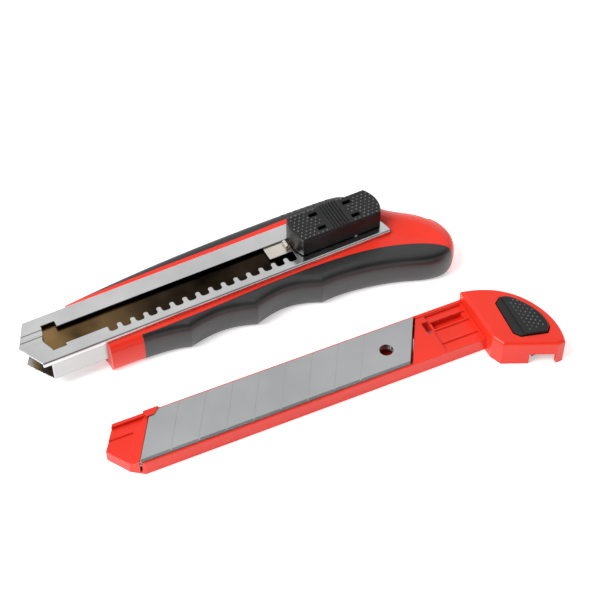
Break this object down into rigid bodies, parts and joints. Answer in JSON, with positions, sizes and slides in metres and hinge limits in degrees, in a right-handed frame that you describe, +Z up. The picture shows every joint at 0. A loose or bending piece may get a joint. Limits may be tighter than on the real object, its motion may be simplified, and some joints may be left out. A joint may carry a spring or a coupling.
{
  "type": "utility knife",
  "caption": "Snap-off utility knife with a steel rail, thumb slider and rubber grips, shown with its refill magazine of spare blades drawn out beside it.",
  "frame": {"origin": "middle of the handle's flat underside, on the centreline of the blade rail", "axes": "+X toward the rear of the handle, -X out of the nose, +Y toward the blade spine side, -Y toward the cutting-edge side, +Z up out of the slider side"},
  "size_m": [0.1729, 0.0998, 0.0238],
  "materials": {
    "red_plastic": "smooth moulded, glossy",
    "grip_rubber": "soft-touch overmould",
    "plated_steel": "bright nickel plate, fine brushed top",
    "polished_floor": "polished strip",
    "blade_steel": "ground flat",
    "spring_steel": "bright pressed strip",
    "black_plastic": "fine moulded texture"
  },
  "bodies": {
    "handle": {"handle_body": "red_plastic", "grip_near": "grip_rubber", "grip_far": "grip_rubber", "blade_rail": "plated_steel", "rail_floor": "polished_floor", "magazine_sleeve": "plated_steel"},
    "slider": {"slider_plate": "spring_steel", "blade_pin": "spring_steel", "slider_base": "black_plastic", "detent_spring": "spring_steel"},
    "thumb_cap": {"slider_cap": "black_plastic"},
    "magazine": {"magazine_tray": "red_plastic", "magazine_head": "red_plastic", "follower_spring": "spring_steel", "button_spring": "spring_steel", "spare_blade_2": "blade_steel", "spare_blade_3": "blade_steel", "spare_blade_4": "blade_steel", "spare_blade_5": "blade_steel"},
    "top_blade": {"spare_blade_1": "blade_steel"},
    "release": {"release_button": "black_plastic"}
  },
  "joints": [
    {"name": "slider_travel", "type": "slide", "parent": "handle", "child": "slider", "axis": [-1, 0, 0], "range_m": [0, 0.09], "deforming": ["detent_spring"]},
    {"name": "thumb_press", "type": "slide", "parent": "slider", "child": "thumb_cap", "axis": [0, 0, -1], "range_m": [0, 0.0005], "stiffness_N_per_m": 3000},
    {"name": "magazine_stroke", "type": "slide", "parent": "handle", "child": "magazine", "axis": [-0.9986, 0.052, 0], "range_m": [-0.125, 0.008]},
    {"name": "top_blade_feed", "type": "slide", "parent": "magazine", "child": "top_blade", "axis": [-0.9986, 0.052, 0], "range_m": [0, 0.1]},
    {"name": "release_button_press", "type": "slide", "parent": "magazine", "child": "release", "axis": [0, 0, -1], "range_m": [0, 0.0015], "stiffness_N_per_m": 1500, "deforming": ["button_spring"]}
  ]
}
